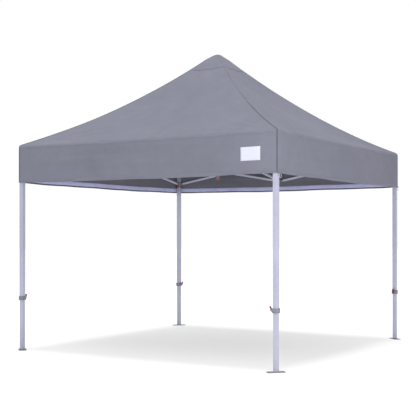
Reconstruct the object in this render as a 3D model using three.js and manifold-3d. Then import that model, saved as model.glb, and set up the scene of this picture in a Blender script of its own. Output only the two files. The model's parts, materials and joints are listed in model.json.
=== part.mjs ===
// Pop-up canopy tent, 10 ft class: four telescoping legs, a scissor truss, a spring peak pole and a fabric top.
// Millimetres, +Z up. Origin at the centre of the footprint, on the ground. -Y is the front, +X the right-hand side.
import * as THREE from 'three';
import { mergeVertices } from 'three/addons/utils/BufferGeometryUtils.js';
import Module from 'manifold-3d';

const wasm = await Module();
wasm.setup();

// ---- driving dimensions (mm) ----
const LEG = 1484;            // leg centre from the tent's centre, along X and along Y
const Z_TOP = 2105;          // upper ring of pivots: upper hub, upper side brackets, leg crowns
const Z_LOW = 1860;          // lower ring of pivots: lower hub, lower side brackets, sliders
const R_HUB = 45;            // pivot from the hub's axis
const R_MID = 35;            // pivot from a side bracket's centre
const R_LEG = 45;            // pivot from a leg's centre
const SPAN = LEG - R_HUB - R_MID;              // horizontal distance between a bar's pivots
const BAR_L = Math.hypot(SPAN, Z_TOP - Z_LOW); // bar length between pivots
const TILT = Math.atan2(Z_TOP - Z_LOW, SPAN);  // bar slope when the tent is open
const BAR_T = 12, BAR_H = 25, BAR_WALL = 0.7;    // truss bar section
const BAR_END = 11;          // bar beyond its end pivot
const PLANE = 7.5;           // each bar's centre plane from the plane of its scissor pair
const PIN_R = 4, HOLE_R = 5.1; // hexagonal: the hole's flats clear the pin's corners by 0.4 mm
const EAR_T = 2.4, EAR_H = 11, GAP = 0.3;
const OUTER = 22, OUTER_WALL = 1, OUTER_Z0 = 530;     // upper leg tube: half width, wall, lower end
const INNER = 19.7, INNER_WALL = 1, INNER_Z1 = 1050;  // lower leg tube: half width, wall, upper end
const FOOT_L = 165, FOOT_W = 80, FOOT_T = 4;
const COLLAR = 28.5, COLLAR_Z0 = 517, COLLAR_Z1 = 559;
const SLIDER = 26.3, SLIDER_Z0 = 1806, SLIDER_Z1 = 1886;
const ROD_R = 11, ROD_Z0 = 1840, CAP_R = 40, CAP_Z = 3148; // peak pole
const TUBE_R = 14.5, TUBE_Z1 = 2066;                       // lower hub's tube, which holds the pole
const EAVE = 1515, EAVE_Z = 2125, HEM_Z = 1740;            // fabric top: half width, eave height, hem height
const TOP_A = 45, TOP_Z = 3155, PEAK_Z = 3170, SAG = 85;   // fabric top: its crown and the sag of its slopes
const FABRIC = 1.5;

// ---- materials ----
const paint = (color, roughness, metalness) => new THREE.MeshStandardMaterial({ color, roughness, metalness });
const legPaint = () => paint(0xcfcfdd, 0.42, 0.35);
const barPaint = () => paint(0xb9b9c8, 0.45, 0.35);
const plastic = () => paint(0x6a6b74, 0.6, 0.0);
const redPlastic = () => paint(0xa3232b, 0.5, 0.0);

// ---- solids ----
function solid(geometry) {
  let g = geometry.clone();
  g.deleteAttribute('normal');
  g.deleteAttribute('uv');
  g = mergeVertices(g, 1e-4);
  return new wasm.Manifold(new wasm.Mesh({
    numProp: 3,
    vertProperties: new Float32Array(g.attributes.position.array),
    triVerts: new Uint32Array(g.index.array),
  }));
}
function geometryOf(manifold) {
  const m = manifold.getMesh();
  const g = new THREE.BufferGeometry();
  g.setAttribute('position', new THREE.BufferAttribute(new Float32Array(m.vertProperties), 3));
  g.setIndex(new THREE.BufferAttribute(new Uint32Array(m.triVerts), 1));
  g.computeVertexNormals();
  return g;
}
const add = (...list) => list.reduce((a, b) => a.add(b));
const cut = (a, ...list) => list.reduce((x, b) => x.subtract(b), a);

const box = (x0, x1, y0, y1, z0, z1) =>
  solid(new THREE.BoxGeometry(x1 - x0, y1 - y0, z1 - z0).translate((x0 + x1) / 2, (y0 + y1) / 2, (z0 + z1) / 2));

// outline in XY, extruded from z0 to z1
function prismZ(points, z0, z1) {
  const shape = new THREE.Shape(points.map(([x, y]) => new THREE.Vector2(x, y)));
  return solid(new THREE.ExtrudeGeometry(shape, { depth: z1 - z0, bevelEnabled: false }).translate(0, 0, z0));
}
// outline in XZ, extruded from y0 to y1
function prismY(points, y0, y1) {
  const shape = new THREE.Shape(points.map(([x, z]) => new THREE.Vector2(x, z)));
  return solid(new THREE.ExtrudeGeometry(shape, { depth: y1 - y0, bevelEnabled: false }).rotateX(Math.PI / 2).translate(0, y1, 0));
}
const cylinderY = (r, n, x, z, y0, y1) =>
  solid(new THREE.CylinderGeometry(r, r, y1 - y0, n).translate(x, (y0 + y1) / 2, z));
const cylinderZ = (r, n, z0, z1) =>
  solid(new THREE.CylinderGeometry(r, r, z1 - z0, n).rotateX(Math.PI / 2).translate(0, 0, (z0 + z1) / 2));
const turned = (manifold, degrees) => manifold.rotate([0, 0, degrees]);
// square outline of half width a with its corners cut off by c
const square = (a, c) => [[a, -a + c], [a, a - c], [a - c, a], [-a + c, a], [-a, a - c], [-a, -a + c], [-a + c, -a], [a - c, -a]];
// a rectangle with its corners cut off
const plate = (x0, x1, z0, z1, c) =>
  [[x0 + c, z0], [x1 - c, z0], [x1, z0 + c], [x1, z1 - c], [x1 - c, z1], [x0 + c, z1], [x0, z1 - c], [x0, z0 + c]];

// ---- truss bars: X from the inner pivot to the outer one, rectangular tube, open at its ends ----
function bar(withPin) {
  const hole = (x) => cylinderY(HOLE_R, 6, x, 0, -10, 10);
  const tube = cut(
    box(-BAR_END, BAR_L + BAR_END, -BAR_T / 2, BAR_T / 2, -BAR_H / 2, BAR_H / 2),
    box(-BAR_END - 5, BAR_L + BAR_END + 5, -BAR_T / 2 + BAR_WALL, BAR_T / 2 - BAR_WALL, -BAR_H / 2 + BAR_WALL, BAR_H / 2 - BAR_WALL),
    hole(0), hole(BAR_L));
  if (!withPin) return geometryOf(cut(tube, hole(BAR_L / 2)));
  // the crossing's rivet is fixed in this bar: its shank goes through the other bar, and its head is beyond it
  const far = 2 * PLANE + BAR_T / 2 + GAP;
  return geometryOf(add(tube, cylinderY(PIN_R, 6, BAR_L / 2, 0, -BAR_T / 2 + BAR_WALL / 2, far + 1), cylinderY(7.5, 6, BAR_L / 2, 0, far, far + 2.5)));
}
const barWithPin = bar(true), barPlain = bar(false);

// ---- clevis: two ears and their pivot pin, on a bracket at height z, reaching out along +X, then turned about Z ----
function clevis(degrees, from, pivot, z, offset) {
  const outline = plate(from, pivot + 11, z - EAR_H, z + EAR_H, 5);
  outline[0][0] = from; outline[5][0] = from; // square where it joins the bracket
  const ear = (s) => {
    const y0 = offset + s * (BAR_T / 2 + GAP), y1 = offset + s * (BAR_T / 2 + GAP + EAR_T);
    return prismY([[from, z - EAR_H], ...outline.slice(1, 5), [from, z + EAR_H]], Math.min(y0, y1), Math.max(y0, y1));
  };
  const out = BAR_T / 2 + GAP + EAR_T;
  return turned(add(ear(-1), ear(1), cylinderY(PIN_R, 6, pivot, z, offset - out + 1, offset + out - 1)), degrees);
}
const UPPER = -PLANE, LOWER = PLANE; // side of the scissor plane on which the upper and lower brackets hold their bars

// ---- side brackets ----
function sideBracket(z, offset) {
  const half = PLANE + BAR_T / 2 + GAP + EAR_T;
  return geometryOf(add(prismZ(square(half, 3), -14, 14).translate([0, 0, z]),
    clevis(180, half - 1, R_MID, z, offset), clevis(90, half - 1, R_MID, z, offset), clevis(-90, half - 1, R_MID, z, offset)));
}
// ---- hubs ----
const four = (from, pivot, z, offset) => [0, 90, 180, 270].map((a) => clevis(a, from, pivot, z, offset));
function upperHub() {
  const body = add(cylinderZ(24.5, 12, Z_TOP - 15, Z_TOP + 13), cylinderZ(17, 12, Z_TOP - 32, Z_TOP - 14), ...four(20, R_HUB, Z_TOP, UPPER));
  return geometryOf(cut(body, cylinderZ(ROD_R + 0.9, 12, Z_TOP - 60, Z_TOP + 40)));
}
function lowerHub() {
  const body = add(cylinderZ(24.5, 12, Z_LOW - 34, Z_LOW + 13), cylinderZ(21, 12, Z_LOW - 48, Z_LOW - 33),
    cylinderZ(TUBE_R, 12, Z_LOW, TUBE_Z1), ...four(20, R_HUB, Z_LOW, LOWER));
  return geometryOf(cut(body, cylinderZ(ROD_R + 0.9, 12, ROD_Z0 - 0.5, TUBE_Z1 + 10)));
}
function peakPole() {
  const rod = cylinderZ(ROD_R, 12, ROD_Z0, CAP_Z - 16);
  const cap = solid(new THREE.LatheGeometry([[0, CAP_Z - 18], [CAP_R - 6, CAP_Z - 18], [CAP_R, CAP_Z - 13], [CAP_R - 3, CAP_Z - 6], [CAP_R - 16, CAP_Z], [0, CAP_Z]]
    .map(([x, y]) => new THREE.Vector2(x, y)), 16).rotateX(Math.PI / 2));
  return geometryOf(cut(add(rod, cap), cylinderZ(ROD_R - 1.6, 12, ROD_Z0 - 5, CAP_Z - 30)));
}

// ---- leg parts, drawn for the front right leg with its axis on Z; the others are turned copies ----
// clevis directions: 180 towards the front left leg, 90 towards the rear right leg
function outerLeg() {
  const tube = cut(prismZ(square(OUTER, 1.2), OUTER_Z0, Z_TOP - 10),
    box(-OUTER + OUTER_WALL, OUTER - OUTER_WALL, -OUTER + OUTER_WALL, OUTER - OUTER_WALL, OUTER_Z0 - 5, Z_TOP - 17));
  return geometryOf(add(tube, prismZ(square(23.5, 5), Z_TOP - 17, Z_TOP + 13),
    clevis(180, 22.5, R_LEG, Z_TOP, UPPER), clevis(90, 22.5, R_LEG, Z_TOP, UPPER)));
}
function innerLeg() {
  const tube = cut(prismZ(square(INNER, 1.2), FOOT_T - 1, INNER_Z1),
    box(-INNER + INNER_WALL, INNER - INNER_WALL, -INNER + INNER_WALL, INNER - INNER_WALL, FOOT_T, INNER_Z1 + 5));
  const hole = (x) => cylinderZ(6.5, 6, -5, FOOT_T + 5).translate([x, 0, 0]);
  const foot = cut(prismZ(plate(-FOOT_L / 2, FOOT_L / 2, -FOOT_W / 2, FOOT_W / 2, 16), 0, FOOT_T), hole(-62), hole(62));
  return geometryOf(add(tube, turned(foot, 45)));
}
const BUTTON_X = 7, BUTTON_Z = 1822; // centre of the release button's housing on the slider's face
function slider() {
  const ring = cut(prismZ(square(SLIDER, 6), SLIDER_Z0, SLIDER_Z1),
    box(-OUTER - 0.6, OUTER + 0.6, -OUTER - 0.6, OUTER + 0.6, SLIDER_Z0 - 5, SLIDER_Z1 + 5));
  const housing = cut(box(BUTTON_X - 15, BUTTON_X + 15, SLIDER - 1, 37.8, BUTTON_Z - 16, BUTTON_Z + 16),
    box(BUTTON_X - 13, BUTTON_X + 13, SLIDER, 42, BUTTON_Z - 14, BUTTON_Z + 14));
  return geometryOf(add(ring, housing, clevis(180, SLIDER - 1, R_LEG, Z_LOW, LOWER), clevis(90, SLIDER - 1, R_LEG, Z_LOW, LOWER)));
}
function releaseButton() {
  const profile = [[32.4, -13.6], [42.8, -13.6], [45.3, -10], [46.3, 0], [45.3, 10], [42.8, 13.6], [32.4, 13.6]];
  const shape = new THREE.Shape(profile.map(([y, z]) => new THREE.Vector2(y, z)));
  // outline in YZ, extruded along X
  const g = new THREE.ExtrudeGeometry(shape, { depth: 25.2, bevelEnabled: false });
  g.rotateX(Math.PI / 2).rotateZ(Math.PI / 2).translate(BUTTON_X - 12.6, 0, BUTTON_Z);
  return geometryOf(solid(g));
}
const LEVER_X = -44, LEVER_Z = 541, LEVER_TILT = 23; // lever pivot on the collar, and its lean away from the leg
function collar() {
  const ring = cut(prismZ(square(COLLAR, 4), COLLAR_Z0, COLLAR_Z1),
    box(-OUTER - 0.4, OUTER + 0.4, -OUTER - 0.4, OUTER + 0.4, OUTER_Z0 - 3, COLLAR_Z1 + 5),
    box(-INNER - 0.6, INNER + 0.6, -INNER - 0.6, INNER + 0.6, COLLAR_Z0 - 5, COLLAR_Z1 + 5));
  const ear = (y0) => prismY([[-COLLAR + 1, 529], [LEVER_X - 3, 531], [LEVER_X - 6, 541], [LEVER_X - 3, 551], [-COLLAR + 1, 556]], y0, y0 + 2.5);
  return geometryOf(add(ring, ear(-15), ear(12.5), cylinderY(2.5, 6, LEVER_X, LEVER_Z, -14, 14)));
}
function lever() { // its own origin is its pivot; it stands along +Z before its lean
  const handle = prismY([[-3.2, -11], [3.2, -11], [4.6, 0], [3.4, 12], [2.6, 36], [0, 39], [-3, 36], [-4.2, 12], [-4.6, 0]], -12, 12);
  return geometryOf(cut(handle, cylinderY(3.3, 6, 0, 0, -20, 20)));
}

// ---- fabric top: one thin shell, open below: four slopes that sag between hips, and a valance ----
function canopy() {
  const slope = (t) => [EAVE + (TOP_A - EAVE) * t, EAVE_Z + (TOP_Z - EAVE_Z) * t - 4 * SAG * t * (1 - t)];
  const ring = (a, z) => { const c = 5 * a / EAVE + 2; return square(a, c).map(([x, y]) => [x, y, z]); };
  const steps = [0.12, 0.3, 0.5, 0.7, 0.87, 1];
  const outer = [ring(EAVE, HEM_Z), ring(EAVE, EAVE_Z), ...steps.map((t) => ring(...slope(t))), ring(TOP_A - 18, PEAK_Z)];
  const inner = [ring(EAVE - FABRIC, HEM_Z), ring(EAVE - FABRIC, EAVE_Z - FABRIC),
    ...steps.map((t) => { const [a, z] = slope(t); return ring(a - 1, z - FABRIC); }), ring(TOP_A - 20, PEAK_Z - FABRIC)];
  const position = [], index = [], n = 8;
  for (const r of [...outer, ...inner]) for (const p of r) position.push(...p);
  const at = (row, i) => row * n + (i % n);
  const rows = outer.length;
  for (let r = 0; r + 1 < rows; r++) for (let i = 0; i < n; i++) {
    index.push(at(r, i), at(r, i + 1), at(r + 1, i + 1), at(r, i), at(r + 1, i + 1), at(r + 1, i));
    const q = r + rows;
    index.push(at(q, i), at(q + 1, i + 1), at(q, i + 1), at(q, i), at(q + 1, i), at(q + 1, i + 1));
  }
  for (let i = 0; i < n; i++) index.push(at(0, i), at(rows, i + 1), at(0, i + 1), at(0, i), at(rows, i), at(rows, i + 1)); // hem
  for (let i = 1; i + 1 < n; i++) {
    index.push(at(rows - 1, 0), at(rows - 1, i), at(rows - 1, i + 1));
    index.push(at(2 * rows - 1, 0), at(2 * rows - 1, i + 1), at(2 * rows - 1, i));
  }
  const g = new THREE.BufferGeometry();
  g.setAttribute('position', new THREE.BufferAttribute(new Float32Array(position), 3));
  g.setIndex(index);
  g.computeVertexNormals();
  return g;
}

// ---- assembly ----
const tent = new THREE.Group();
function place(parent, name, geometry, material, x = 0, y = 0, z = 0, tilt = 0) {
  const mesh = new THREE.Mesh(geometry, material);
  mesh.name = name;
  mesh.position.set(x, y, z);
  mesh.rotation.y = tilt;
  parent.add(mesh);
  return mesh;
}
function group(parent, x, y, degrees) {
  const g = new THREE.Group();
  g.position.set(x, y, 0);
  g.rotation.z = THREE.MathUtils.degToRad(degrees);
  parent.add(g);
  return g;
}
// a scissor pair: X runs from the inner pivots to the outer ones
function scissor(parent, falling, rising) {
  place(parent, falling, barWithPin, barPaint(), 0, -PLANE, Z_TOP, TILT);
  place(parent, rising, barPlain, barPaint(), 0, PLANE, Z_LOW, -TILT);
}

place(tent, 'center_hub_upper', upperHub(), plastic());
place(tent, 'center_hub_lower', lowerHub(), plastic());
place(tent, 'peak_pole', peakPole(), barPaint());
place(tent, 'canopy', canopy(), paint(0x85868f, 0.9, 0));

const upperBracket = sideBracket(Z_TOP, UPPER), lowerBracket = sideBracket(Z_LOW, LOWER);
for (const [side, degrees] of [['right', 0], ['rear', 90], ['left', 180], ['front', 270]]) {
  const g = group(tent, 0, 0, degrees);
  scissor(group(g, R_HUB, 0, 0), `inner_bar_${side}_falling`, `inner_bar_${side}_rising`);
  const mid = group(g, LEG, 0, 0);
  place(mid, `side_bracket_${side}_upper`, upperBracket, plastic());
  place(mid, `side_bracket_${side}_lower`, lowerBracket, plastic());
  // the half towards the next leg round (counter-clockwise from above), and the half towards the leg before
  scissor(group(group(mid, 0, 0, 90), R_MID, 0, 0), `edge_bar_${side}_a_falling`, `edge_bar_${side}_a_rising`);
  scissor(group(group(mid, 0, 0, -90), R_MID, 0, 0), `edge_bar_${side}_b_falling`, `edge_bar_${side}_b_rising`);
}
const parts = { outer: outerLeg(), inner: innerLeg(), slider: slider(), button: releaseButton(), collar: collar(), lever: lever() };
for (const [corner, sx, sy, degrees] of [['front_right', 1, -1, 0], ['rear_right', 1, 1, 90], ['rear_left', -1, 1, 180], ['front_left', -1, -1, 270]]) {
  const g = group(tent, sx * LEG, sy * LEG, degrees);
  place(g, `upper_leg_${corner}`, parts.outer, legPaint());
  place(g, `lower_leg_${corner}`, parts.inner, legPaint());
  place(g, `slider_${corner}`, parts.slider, plastic());
  place(g, `release_button_${corner}`, parts.button, redPlastic());
  place(g, `leg_collar_${corner}`, parts.collar, plastic());
  place(g, `collar_lever_${corner}`, parts.lever, redPlastic(), LEVER_X, 0, LEVER_Z, THREE.MathUtils.degToRad(-LEVER_TILT));
}
export default tent;
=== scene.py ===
import json
import math

import bpy
import numpy as np
from mathutils import Matrix, Vector

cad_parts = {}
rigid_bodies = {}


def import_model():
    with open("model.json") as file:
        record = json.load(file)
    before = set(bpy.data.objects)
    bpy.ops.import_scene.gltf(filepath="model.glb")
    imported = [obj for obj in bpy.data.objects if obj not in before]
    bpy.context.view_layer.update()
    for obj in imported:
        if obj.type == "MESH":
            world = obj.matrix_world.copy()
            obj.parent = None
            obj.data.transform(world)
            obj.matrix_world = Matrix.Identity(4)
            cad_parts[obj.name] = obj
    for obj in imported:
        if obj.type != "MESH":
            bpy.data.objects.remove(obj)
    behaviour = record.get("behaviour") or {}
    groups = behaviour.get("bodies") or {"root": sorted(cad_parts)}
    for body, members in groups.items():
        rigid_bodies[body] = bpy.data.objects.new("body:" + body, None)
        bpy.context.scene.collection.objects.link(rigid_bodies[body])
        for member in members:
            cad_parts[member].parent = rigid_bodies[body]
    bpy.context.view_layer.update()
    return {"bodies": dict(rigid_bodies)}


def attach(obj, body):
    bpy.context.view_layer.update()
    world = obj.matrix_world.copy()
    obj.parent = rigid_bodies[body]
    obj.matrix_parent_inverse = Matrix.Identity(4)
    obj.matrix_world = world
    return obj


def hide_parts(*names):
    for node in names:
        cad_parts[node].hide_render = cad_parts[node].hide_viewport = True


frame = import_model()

MM = 0.001
rng = np.random.default_rng(11)

# ---------------------------------------------------------------- dimensions, mm, the same as the frame's
LEG, Z_TOP, Z_LOW = 1484.0, 2105.0, 1860.0
R_HUB, R_MID, R_LEG = 45.0, 35.0, 45.0
SPAN = LEG - R_HUB - R_MID
BAR_L = math.hypot(SPAN, Z_TOP - Z_LOW)
TILT = math.atan2(Z_TOP - Z_LOW, SPAN)
BAR_T, BAR_H, PLANE, EAR_T, GAP = 12.0, 25.0, 7.5, 2.4, 0.3
UPPER, LOWER = -PLANE, PLANE
CORNERS = [("front_right", 1, -1, 0), ("rear_right", 1, 1, 90), ("rear_left", -1, 1, 180), ("front_left", -1, -1, 270)]
SIDES = [("right", 0), ("rear", 90), ("left", 180), ("front", 270)]


# ================================================================ materials
def srgb(r, g, b):
    f = lambda c: (c / 255 / 12.92) if c / 255 <= 0.04045 else ((c / 255 + 0.055) / 1.055) ** 2.4
    return (f(r), f(g), f(b), 1.0)


class Nodes:
    """Small helper that writes one material's node tree."""

    def __init__(self, name):
        self.mat = bpy.data.materials.new(name)
        self.mat.use_nodes = True
        self.t = self.mat.node_tree
        self.bsdf = next(n for n in self.t.nodes if n.type == "BSDF_PRINCIPLED")
        self.tex = self.t.nodes.new("ShaderNodeTexCoord")

    def new(self, kind, **props):
        n = self.t.nodes.new(kind)
        for k, v in props.items():
            setattr(n, k, v)
        return n

    def link(self, a, b):
        self.t.links.new(a, b)

    def noise(self, scale, detail=3.0, rough=0.55, coord=None, stretch=None):
        n = self.new("ShaderNodeTexNoise")
        n.inputs["Scale"].default_value = scale
        n.inputs["Detail"].default_value = detail
        n.inputs["Roughness"].default_value = rough
        src = coord or self.tex.outputs["Object"]
        if stretch:
            m = self.new("ShaderNodeMapping")
            m.inputs["Scale"].default_value = stretch
            self.link(src, m.inputs["Vector"])
            src = m.outputs["Vector"]
        self.link(src, n.inputs["Vector"])
        return n.outputs["Fac"]

    def ramp(self, fac, stops):
        n = self.new("ShaderNodeValToRGB")
        e = n.color_ramp.elements
        e[0].position, e[0].color = stops[0]
        e[1].position, e[1].color = stops[-1]
        for p, c in stops[1:-1]:
            x = e.new(p)
            x.color = c
        self.link(fac, n.inputs["Fac"])
        return n.outputs["Color"]

    def span(self, fac, lo, hi, a=0.3, b=0.7):
        n = self.new("ShaderNodeMapRange")
        n.inputs["From Min"].default_value, n.inputs["From Max"].default_value = a, b
        n.inputs["To Min"].default_value, n.inputs["To Max"].default_value = lo, hi
        self.link(fac, n.inputs["Value"])
        return n.outputs["Result"]

    def mixc(self, fac, a, b, blend="MIX"):
        n = self.new("ShaderNodeMix", data_type="RGBA", blend_type=blend)
        for v, k in ((fac, 0), (a, 6), (b, 7)):
            if isinstance(v, (int, float)):
                n.inputs[k].default_value = v
            elif isinstance(v, tuple):
                n.inputs[k].default_value = v
            else:
                self.link(v, n.inputs[k])
        return n.outputs[2]

    def math(self, op, a, b=None, c=None):
        n = self.new("ShaderNodeMath", operation=op)
        for i, v in enumerate((a, b, c)):
            if v is None:
                continue
            if isinstance(v, (int, float)):
                n.inputs[i].default_value = v
            else:
                self.link(v, n.inputs[i])
        return n.outputs[0]

    def bump(self, height, strength, distance, normal=None):
        n = self.new("ShaderNodeBump")
        n.inputs["Strength"].default_value = strength
        n.inputs["Distance"].default_value = distance
        self.link(height, n.inputs["Height"])
        if normal is not None:
            self.link(normal, n.inputs["Normal"])
        return n.outputs["Normal"]

    def set(self, **values):
        for k, v in values.items():
            self.bsdf.inputs[k.replace("_", " ")].default_value = v

    def to(self, name, socket):
        self.link(socket, self.bsdf.inputs[name])


def painted(name, light, dark, rough=(0.34, 0.5), metal=0.15, grime=None):
    """Powder-coated tube: slight tone drift, orange-peel skin, fine rubbing marks, dust low down."""
    n = Nodes(name)
    drift = n.noise(2.3, 3.0)
    colour = n.ramp(drift, [(0.3, dark), (0.7, light)])
    rub = n.noise(34.0, 5.0, 0.7, stretch=(3.0, 3.0, 0.16))
    rubbed = n.span(rub, 0.0, 1.0, 0.66, 0.74)
    colour = n.mixc(n.math("MULTIPLY", rubbed, 0.28), colour, (light[0] * 1.12, light[1] * 1.12, light[2] * 1.1, 1))
    if grime:
        sep = n.new("ShaderNodeSeparateXYZ")
        n.link(n.tex.outputs["Object"], sep.inputs[0])
        low = n.span(sep.outputs["Z"], 1.0, 0.0, 0.0, 0.22)
        specks = n.span(n.noise(60.0, 6.0, 0.7), 0.0, 1.0, 0.38, 0.66)
        colour = n.mixc(n.math("MULTIPLY", n.math("MULTIPLY", low, specks), 0.5), colour, grime)
    n.to("Base Color", colour)
    n.to("Roughness", n.span(n.noise(18.0, 4.0), rough[0], rough[1]))
    n.to("Normal", n.bump(n.noise(900.0, 2.0), 0.16, 0.0004, n.bump(n.noise(70.0, 2.0), 0.06, 0.0012)))
    n.set(Metallic=metal)
    n.bsdf.inputs["Coat Weight"].default_value = 0.12
    n.bsdf.inputs["Coat Roughness"].default_value = 0.25
    return n.mat


def moulded(name, light, dark, rough=(0.42, 0.6), grain=700.0):
    """Moulded nylon: fine spark-erosion grain, faint flow marks, scuffs."""
    n = Nodes(name)
    colour = n.ramp(n.noise(14.0, 4.0), [(0.25, dark), (0.75, light)])
    scuff = n.span(n.noise(120.0, 7.0, 0.75, stretch=(1.0, 1.0, 0.35)), 0.0, 1.0, 0.64, 0.78)
    colour = n.mixc(n.math("MULTIPLY", scuff, 0.35), colour, (light[0] * 1.35, light[1] * 1.35, light[2] * 1.35, 1))
    n.to("Base Color", colour)
    n.to("Roughness", n.span(n.noise(30.0, 3.0), rough[0], rough[1]))
    v = n.new("ShaderNodeTexVoronoi")
    v.inputs["Scale"].default_value = grain
    n.link(n.tex.outputs["Object"], v.inputs["Vector"])
    n.to("Normal", n.bump(v.outputs["Distance"], 0.22, 0.0004))
    return n.mat


def metal(name, colour, rough=(0.22, 0.4)):
    n = Nodes(name)
    n.to("Base Color", n.ramp(n.noise(90.0, 4.0), [(0.3, tuple(c * 0.72 for c in colour[:3]) + (1,)), (0.7, colour)]))
    n.to("Roughness", n.span(n.noise(55.0, 4.0, 0.7), rough[0], rough[1]))
    n.to("Normal", n.bump(n.noise(420.0, 3.0), 0.12, 0.0003))
    n.set(Metallic=1.0)
    return n.mat


def woven(name, light, dark, thread=0.0011, rough=0.78, crease=0.5, sheen=0.02, dust=0.0):
    """Coated polyester: warp and weft from the sheet's own UVs in metres, painted shade in the weave's hollows, soft
    creases, slight fading.
    """
    n = Nodes(name)
    uv = n.new("ShaderNodeUVMap")
    uv.uv_map = "UVMap"
    sep = n.new("ShaderNodeSeparateXYZ")
    n.link(uv.outputs["UV"], sep.inputs[0])
    k = 2 * math.pi / (2 * thread)
    warp = n.math("SINE", n.math("MULTIPLY", sep.outputs["X"], k))
    weft = n.math("SINE", n.math("MULTIPLY", sep.outputs["Y"], k))
    weave = n.math("MULTIPLY", warp, weft)          # over-and-under cells
    weave01 = n.math("MULTIPLY_ADD", weave, 0.5, 0.5)
    big = n.noise(1.1, 3.0, 0.5)
    mid = n.noise(7.0, 5.0, 0.6)
    colour = n.ramp(n.math("MULTIPLY_ADD", big, 0.6, n.math("MULTIPLY", mid, 0.4)), [(0.34, dark), (0.66, light)])
    # the weave's under cells are darkened in colour: painted shade in the hollows between the threads
    shade = tuple(c * 0.80 for c in dark[:3]) + (1,)
    colour = n.mixc(n.math("MULTIPLY", n.math("SUBTRACT", 1.0, weave01), 0.22), colour, shade)
    slub = n.span(n.noise(1.0, 3.0, 0.6, coord=uv.outputs["UV"], stretch=(4.0, 260.0, 1.0)), 0.0, 1.0, 0.60, 0.75)
    colour = n.mixc(n.math("MULTIPLY", slub, 0.07), colour, tuple(min(1, c * 1.25) for c in light[:3]) + (1,))
    if dust:
        d = n.span(n.noise(3.3, 6.0, 0.65), 0.0, 1.0, 0.52, 0.75)
        colour = n.mixc(n.math("MULTIPLY", d, dust), colour, (0.30, 0.30, 0.31, 1))
    n.to("Base Color", colour)
    n.to("Roughness", n.span(n.noise(9.0, 3.0), rough - 0.08, rough + 0.08))
    soft = n.bump(n.noise(4.5, 4.0, 0.5), crease * 0.35, 0.02)
    fine = n.bump(n.noise(26.0, 4.0, 0.55), crease * 0.2, 0.004, soft)
    n.to("Normal", n.bump(weave01, 0.25, thread * 0.4, fine))
    n.bsdf.inputs["Sheen Weight"].default_value = sheen
    n.bsdf.inputs["Sheen Roughness"].default_value = 0.5
    n.bsdf.inputs["Specular IOR Level"].default_value = 0.05
    return n.mat


def taped(name, light, dark, pitch=0.005, fade=None):
    """Sewn tape or hem: ribbed weave across its width and two rows of lock stitches along it. UV: x along in m, y across 0..1."""
    n = Nodes(name)
    uv = n.new("ShaderNodeUVMap")
    uv.uv_map = "UVMap"
    sep = n.new("ShaderNodeSeparateXYZ")
    n.link(uv.outputs["UV"], sep.inputs[0])
    x, y = sep.outputs["X"], sep.outputs["Y"]
    rib = n.math("MULTIPLY_ADD", n.math("SINE", n.math("MULTIPLY", x, 2 * math.pi / 0.0018)), 0.5, 0.5)
    dash = n.math("LESS_THAN", n.math("FRACT", n.math("DIVIDE", x, pitch)), 0.66)
    near = n.math("LESS_THAN", n.math("ABSOLUTE", n.math("SUBTRACT", n.math("ABSOLUTE", n.math("SUBTRACT", y, 0.5)), 0.34)), 0.035)
    stitch = n.math("MULTIPLY", dash, near)
    colour = n.ramp(n.noise(6.0, 4.0), [(0.3, dark), (0.7, light)])
    colour = n.mixc(n.math("MULTIPLY", rib, 0.10), colour, tuple(c * 0.7 for c in dark[:3]) + (1,))
    colour = n.mixc(stitch, colour, tuple(min(1, c * 1.5 + 0.02) for c in light[:3]) + (1,))
    if fade:                                    # the tape's colour runs to the roof's own tone further up
        colour = n.mixc(n.span(x, 0.0, 1.0, fade[0], fade[1]), colour, fade[2])
    n.to("Base Color", colour)
    n.to("Roughness", n.span(n.noise(12.0, 3.0), 0.66, 0.86))
    n.to("Normal", n.bump(stitch, 0.5, 0.0006, n.bump(rib, 0.25, 0.0004)))
    n.bsdf.inputs["Sheen Weight"].default_value = 0.04
    n.bsdf.inputs["Specular IOR Level"].default_value = 0.05
    return n.mat


LEG_PAINT = painted("leg_powder_coat", srgb(166, 167, 187), srgb(155, 156, 176), grime=srgb(132, 130, 134))
BAR_PAINT = painted("bar_powder_coat", srgb(190, 190, 206), srgb(176, 176, 194), rough=(0.38, 0.52))
NYLON = moulded("bracket_nylon", srgb(122, 124, 135), srgb(101, 103, 114))
DARK_NYLON = moulded("dark_nylon", srgb(70, 70, 80), srgb(52, 52, 61))
RED = moulded("red_nylon", srgb(184, 28, 34), srgb(140, 18, 26), rough=(0.34, 0.48))
LEVER_RED = moulded("lever_red_nylon", srgb(142, 20, 28), srgb(104, 13, 20), rough=(0.34, 0.48))
ZINC = metal("zinc_plate", srgb(196, 198, 206))
CHROME = metal("bright_steel", srgb(226, 228, 234), rough=(0.12, 0.24))
FOOT = painted("foot_plate_coat", srgb(118, 117, 130), srgb(96, 95, 108), rough=(0.45, 0.62), metal=0.35, grime=srgb(120, 116, 112))
FABRIC = woven("roof_polyester", srgb(118, 119, 131), srgb(109, 110, 122), crease=0.8)
# the underside's coating, its tone set darker than the roof's: partly its own finish, partly painted shade for the
# inside of the canopy
SHADED_LINING = woven("underside_coating_painted_shade", srgb(106, 106, 116), srgb(97, 97, 107), rough=0.62, sheen=0.03)
TAPE = taped("seam_tape", srgb(97, 98, 110), srgb(88, 89, 101), fade=(1.15, 1.75, srgb(113, 114, 126)))
HEM_OUT = taped("outer_hem", srgb(115, 116, 128), srgb(108, 109, 121), pitch=0.006)
HEM_IN = taped("inner_hem_band", srgb(182, 184, 218), srgb(168, 170, 206), pitch=0.006)
HEM_EDGE = taped("hem_binding", srgb(88, 88, 104), srgb(76, 76, 92))
WEBBING = taped("webbing", srgb(112, 113, 126), srgb(96, 97, 110), pitch=0.004)
LABEL = woven("blank_patch", srgb(200, 202, 219), srgb(191, 193, 211), thread=0.0008, sheen=0.1)


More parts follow.
